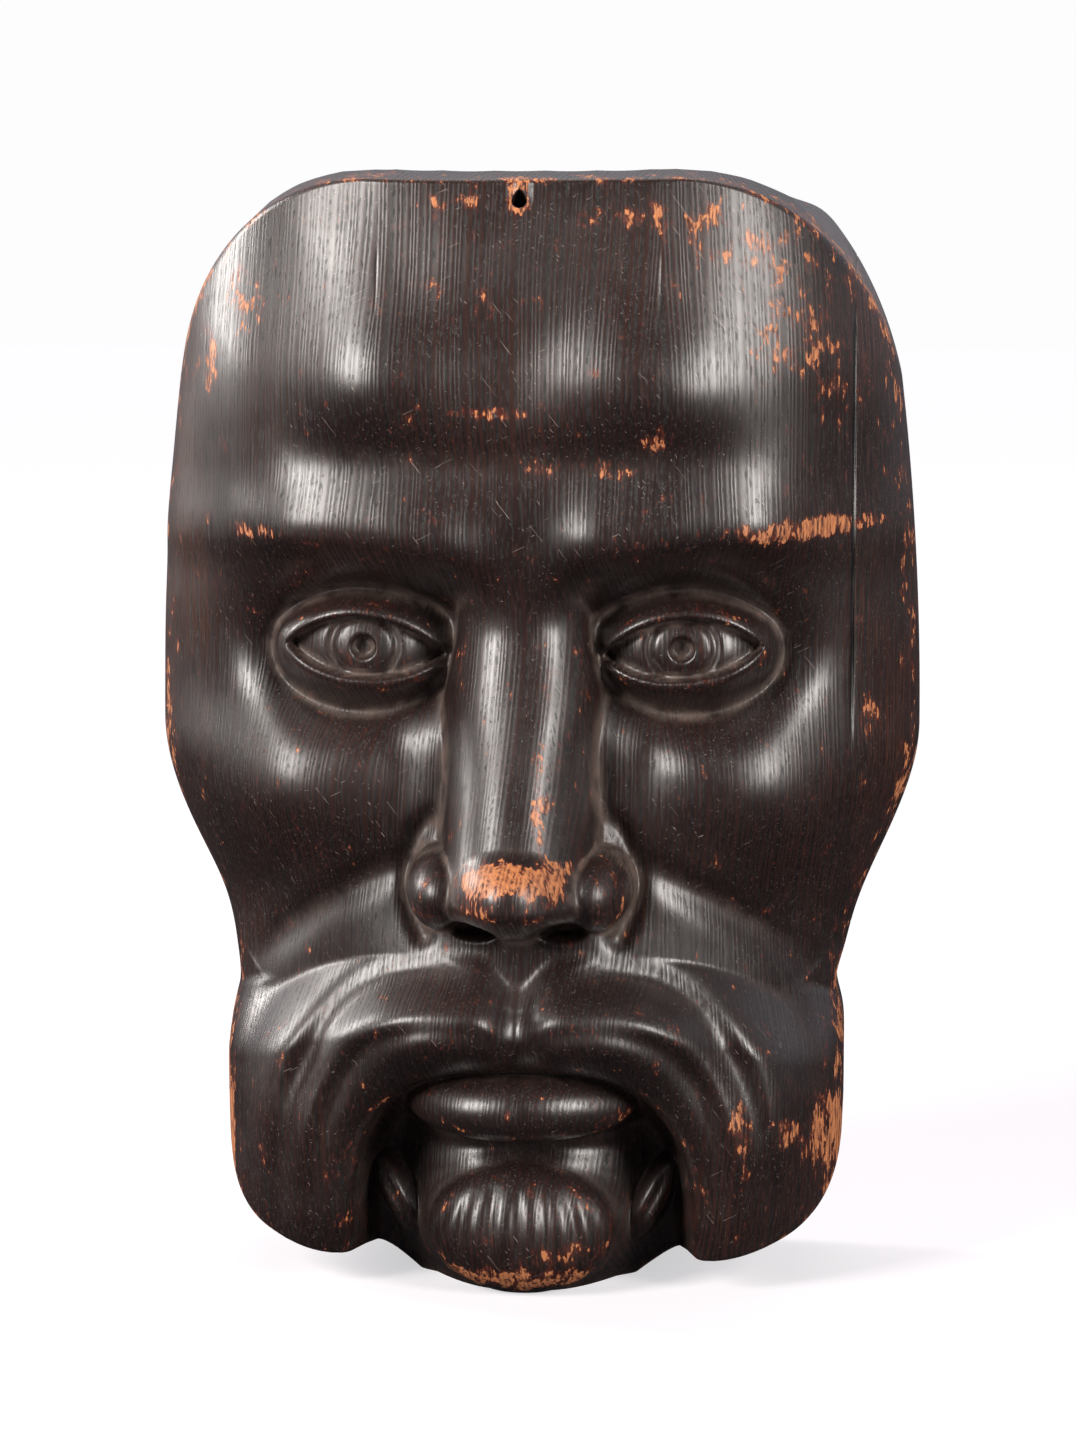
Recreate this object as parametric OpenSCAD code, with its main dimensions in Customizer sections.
// Carved wooden face mask, edge-glued from five upright staves.
// The face looks along -Y, +Z is up, and the flat foot of the chin stands on Z = 0.

/* [Overall] */
// Height from the foot of the chin to the crest
height = 210; // [150:1:270]
// Width across the cheekbones
width = 148; // [116:1:190]
// Depth from the flat back to the tip of the nose
depth = 76; // [60:1:100]

/* [Outline] */
// Width of the straight crest at the top of the forehead
crest_w = 54; // [36:1:80]
// Height of the rounded corner at each side of the crest
arch_h = 58; // [36:1:80]
// Width of the flat foot under the chin
foot_w = 42; // [24:1:60]
// How much the sawn crest rises towards the back, for each mm of depth
crest_slope = 0.18; // [0:0.01:0.3]

/* [Staves] */
// Width of the middle stave
centre_stave_w = 52; // [40:1:70]
// Width of the thin outer stave at each cheekbone
side_stave_w = 13; // [8:1:18]

/* [Back] */
// Wall left behind the carving
wall = 9; // [5:0.5:12]
// Width of the flat rim that the back lies on
rim_w = 8.5; // [5:0.5:12]
// Deepest gouging, measured from the flat back
hollow_depth = 41; // [25:1:46]
// Thickness of the floor under the hollow
floor_t = 10; // [6:0.5:16]

/* [Hanging hole] */
// Diameter of the hole for the hanging cord
hole_d = 2.8; // [2:0.1:6]
// Distance of the hole's centre below the crest
hole_drop = 5.5; // [4:0.5:14]
// How steeply the hole runs down towards the hollow, in degrees
hole_slope = 30; // [0:1:40]

/* [Hidden] */

// proportions are drawn on a face this wide, high and deep, then stretched to size
drawn_w = 142;
drawn_h = 210;
drawn_d = 76;
kx = width / drawn_w;
kz = height / drawn_h;
kd = depth / drawn_d;

joint_1 = centre_stave_w / 2;          // glue line beside the middle stave
joint_2 = width / 2 - side_stave_w;    // glue line beside the thin side stave
thin_edge = 1;                         // least width a stave is worth keeping
step = height / 420;                   // spacing of the heights tried for a stave's ends
cheekbone_z = 208 * step;              // height at which the face is widest
row_ease = 0.2;                        // rows crowd towards the ends of a stave

dark_stain = [0.22, 0.17, 0.165];
side_stain = [0.25, 0.19, 0.18];

// ---- shaping functions ----

function bell(t) = exp(-t * t);
function clamp(t) = min(1, max(0, t));
function ramp(t) = let (c = clamp(t)) c * c * (3 - 2 * c);
function smooth_max(a, b, k) = let (h = clamp(0.5 + 0.5 * (a - b) / k)) b + (a - b) * h + k * h * (1 - h);
function smooth_min(a, b, k) = -smooth_max(-a, -b, k);
function oval(x, z, cx, cz, rx, rz) = pow((x - cx) / rx, 2) + pow((z - cz) / rz, 2);
function mound(x, z, cx, cz, rx, rz) = exp(-oval(x, z, cx, cz, rx, rz));
function quarter(t, n) = sqrt(max(0, 1 - pow(clamp(t), n)));

// rounded boss with its top at depth top, falling away round its oval
function boss(q, top, high) = top - high + high * (q < 1 ? pow(1 - q, 0.7) : -(q - 1) * 1.5);

// ---- outline: half width at height z ----

// the round body before the crest and the chin are sawn
function body_half(v) =
    v > 104 ? 71 * sqrt(1 - pow((v - 104) / 196, 2)) : 71 - 13.5 * ramp((104 - v) / 48);

function arch_half(z) =
    let (start = height - arch_h, widest = kx * body_half(start / kz))
    crest_w / 2 + (widest - crest_w / 2) * quarter((z - start) / arch_h, 2);

// hanging ends of the moustache, and the chin between them
function lobe_half(v) = 57.5 * pow(1 - pow(clamp((36 - v) / 31), 4), 0.25);
function chin_half(z) = foot_w / 2 + min(1.5 * z, 13 * kz);

function half_width(z) =
    let (v = z / kz, side = kx * (body_half(v) - 1.5 * bell((v - 54) / 5)))
    z > height - arch_h ? min(side, arch_half(z))
    : v < 36 ? min(side, max(kx * lobe_half(v), chin_half(z)))
    : side;

// ---- front: depth forward of the flat back ----

// plain curved wall that the face is carved on
function plain_wall(u, v) =
    (46 + 9 * bell((v - 166) / 37) + 2.5 * bell((v - 20) / 30) - 5 * ramp((16 - v) / 16))
    * quarter(abs(u) / (body_half(v) + 0.6), 2.4 + 0.8 * ramp((v - 120) / 40));

function forehead(a, v) =
    4.4 * mound(a, v, 24, 173, 14, 12) - mound(a, v, 0, 172, 8, 20) + mound(a, v, 0, 190, 16, 9)
    - 1.4 * bell((v - 157 - 0.05 * a) / 5) * ramp((48 - a) / 30) - 3.4 * mound(a, v, 60, 154, 9, 20);

function brow(a, v) =
    let (share = clamp((a - 4) / 54), t = v - 139 - 4.6 * sin(share * 149))
    5.6 * (t > 0 ? bell(t / 9) : bell(t / 5)) * ramp((a - 1) / 14) * (1 - 0.7 * ramp((a - 40) / 20))
    + 2.2 * mound(a, v, 0, 142, 10, 13);

function socket(a, v) =
    10.8 * bell(pow(oval(a, v, 28.5, 121, 19.5, 14), 0.85)) + 4.6 * mound(a, v, 13, 125, 6, 10);

function cheek(a, v) =
    7.4 * mound(a, v, 43, 95, 18, 13) - 3.6 * mound(a, v, 51, 71, 13, 10) - 1.6 * mound(a, v, 22, 100, 5, 9);

// how far inside the arch of the moustache a point lies, where the lower lip and the chin are
function window_depth(a, v) = 31 * (1 - pow(pow(a / 31, 3) + pow(max(0, v - 6) / 37, 3), 1 / 3));

function window_recess(a, v) =
    let (inside = window_depth(a, v))
    9 * ramp(inside / 5 + 0.2) * ramp((a - 6) / 20) + 3 * ramp(inside / 6);

function eyelids(a, v) =
    let (q = oval(a, v, 28.5, 121, 17.6, 14.6))
    q < 1 ? 29.6 + 16.2 * sqrt(1 - q) : 0;

function nose(a, v) =
    let (share = clamp((134 - v) / 56),
         ridge = 47.5 + 1.6 * bell((v - 140) / 8) + 26 * pow(share, 1.2) - 32 * ramp((77 - v) / 11),
         breadth = 11.5 + 4.2 * share + 1.4 * bell((v - 112) / 9),
         q = a / breadth)
    ridge - (ridge - 37) * (1 - quarter(q, 2.2)) - 26 * max(0, q - 1) - 1.4 * max(0, v - 138);

function nose_tip(a, v) = boss(oval(a, v, 0, 79, 11, 10), 75.6, 22);
function nose_wing(a, v) = boss(oval(a, v, 13, 77.5, 7.2, 7.8), 64, 13);
function lower_lip(a, v) = boss(oval(a, v, 0, 36.2, 21, 6.6), 59.5 - 0.016 * a * a, 9);
function chin(a, v) = boss(oval(a, v, 0, 12, 17, 12.5), 55.5, 11);

function moustache(a, v) =
    let (outside = -window_depth(a, v),
         under = (67 - 0.0046 * a * a - 5 * bell(a / 4) - v) * 0.9,
         lift = 9.5 + 4.5 * mound(a, v, 17, 52, 15, 9) + 3.5 * mound(a, v, 46, 34, 12, 18) - 3 * bell(a / 4))
    plain_wall(a, v) + 4.5 * mound(a, v, 0, 52, 34, 24) - 24 * ramp(0.1 - under / 10)
    + lift * quarter(1 - outside / 10, 2) * pow(ramp(under / 12), 0.7);

function skin(a, v) =
    plain_wall(a, v) + forehead(a, v) + brow(a, v) - socket(a, v) + cheek(a, v)
    + 6 * mound(a, v, 0, 56, 30, 22) - window_recess(a, v);

function face(a, v) =
    let (lidded = smooth_max(skin(a, v), eyelids(a, v), 3),
         nosed = smooth_max(lidded, nose(a, v), 4),
         winged = smooth_max(nosed, nose_wing(a, v), 1.8) - 5 * mound(a, v, 7.6, 70.6, 4.4, 2.3),
         tipped = smooth_max(winged, nose_tip(a, v), 3),
         lipped = smooth_max(tipped, lower_lip(a, v), 2.4),
         chinned = smooth_max(lipped, chin(a, v), 5))
    window_depth(a, v) > 0 ? chinned : smooth_max(chinned, moustache(a, v), 1.2);

function front(x, z) = kd * min(drawn_d, face(abs(x) / kx, z / kz));

// ---- back: depth of the gouged hollow ----

function carved_floor(a, v) =
    plain_wall(a, v) - socket(a, v) + 14 * mound(a, v, 0, 95, 9, 22) - 12 * mound(a, v, 24, 24, 14, 20);

function hollow(x, z) =
    let (a = abs(x) / kx, v = z / kz,
         raised = (z - rim_w) / kz,
         inner = max(1, kx * (raised < 36 ? lobe_half(raised) : body_half(v)) - rim_w),
         closing = quarter((60 * kz - z) / (60 * kz - floor_t), 3),
         scoop = hollow_depth * quarter(abs(x) / inner, 3) * closing)
    max(0, smooth_min(scoop, kd * carved_floor(a, v) - wall, 3));

// ---- one stave: carved front, gouged back, and planed or sawn edges all round ----

// the sawn crest leans: the further forward a point lies, the lower it ends
function leaned(z, d) =
    z - crest_slope * (d - hollow(crest_w / 2, height)) * pow(z / height, 4);

function place(x, z, d) = [x, depth / 2 - d, leaned(z, d)];

// last height, going from z in steps of move, where the outline still holds a stave that starts at x = near
function stave_end(near, z, move) =
    z + move < 0 || z + move > height || half_width(z + move) < near + thin_edge
    ? z : stave_end(near, z + move, move);

module stave(near, far, cols, rows) {
    low = stave_end(near, cheekbone_z, -step);
    high = stave_end(near, cheekbone_z, step);
    zs = [for (i = [0 : rows]) let (t = i / rows)
        low + (high - low) * (t - row_ease * sin(360 * t) / (2 * PI))];
    grid = [for (z = zs) let (reach = min(far, half_width(z)), start = max(near, -half_width(z)))
        [for (j = [0 : cols]) [start + (reach - start) * j / cols, z]]];
    points = concat(
        [for (row = grid) for (p = row) place(p[0], p[1], front(p[0], p[1]))],
        [for (row = grid) for (p = row) place(p[0], p[1], hollow(p[0], p[1]))]);
    w = cols + 1;
    back = (rows + 1) * w;
    sheet = [for (i = [0 : rows - 1], j = [0 : cols - 1]) let (a = i * w + j)
        [[a, a + w, a + w + 1], [a, a + w + 1, a + 1]]];
    edge = concat(
        [for (j = [0 : cols]) j],
        [for (i = [1 : rows]) i * w + cols],
        [for (j = [cols - 1 : -1 : 0]) rows * w + j],
        [for (i = [rows - 1 : -1 : 1]) i * w]);
    n = len(edge);
    faces = concat(
        [for (pair = sheet) for (t = pair) t],
        [for (pair = sheet) for (t = pair) [t[2] + back, t[1] + back, t[0] + back]],
        [for (k = [0 : n - 1]) let (a = edge[k], b = edge[(k + 1) % n]) [a, b, b + back]],
        [for (k = [0 : n - 1]) let (a = edge[k], b = edge[(k + 1) % n]) [a, b + back, a + back]]);
    polyhedron(points, faces, convexity = 8);
}

module broad_stave() {
    stave(joint_1, joint_2, 12, 80);
}

module side_stave() {
    stave(joint_2, width, 4, 44);
}

module centre_stave() {
    color(dark_stain) difference() {
        stave(-joint_1, joint_1, 26, 92);
        translate([0, depth / 2 - front(0, height - hole_drop), height - hole_drop])
            rotate([90 - hole_slope, 0, 0])
                cylinder(h = depth, d = hole_d, center = true, $fn = 48);
    }
}

module right_stave() {
    color(dark_stain) broad_stave();
}

module left_stave() {
    color(dark_stain) mirror([1, 0, 0]) broad_stave();
}

module right_side_stave() {
    color(side_stain) side_stave();
}

module left_side_stave() {
    color(side_stain) mirror([1, 0, 0]) side_stave();
}

centre_stave();
left_stave();
right_stave();
left_side_stave();
right_side_stave();
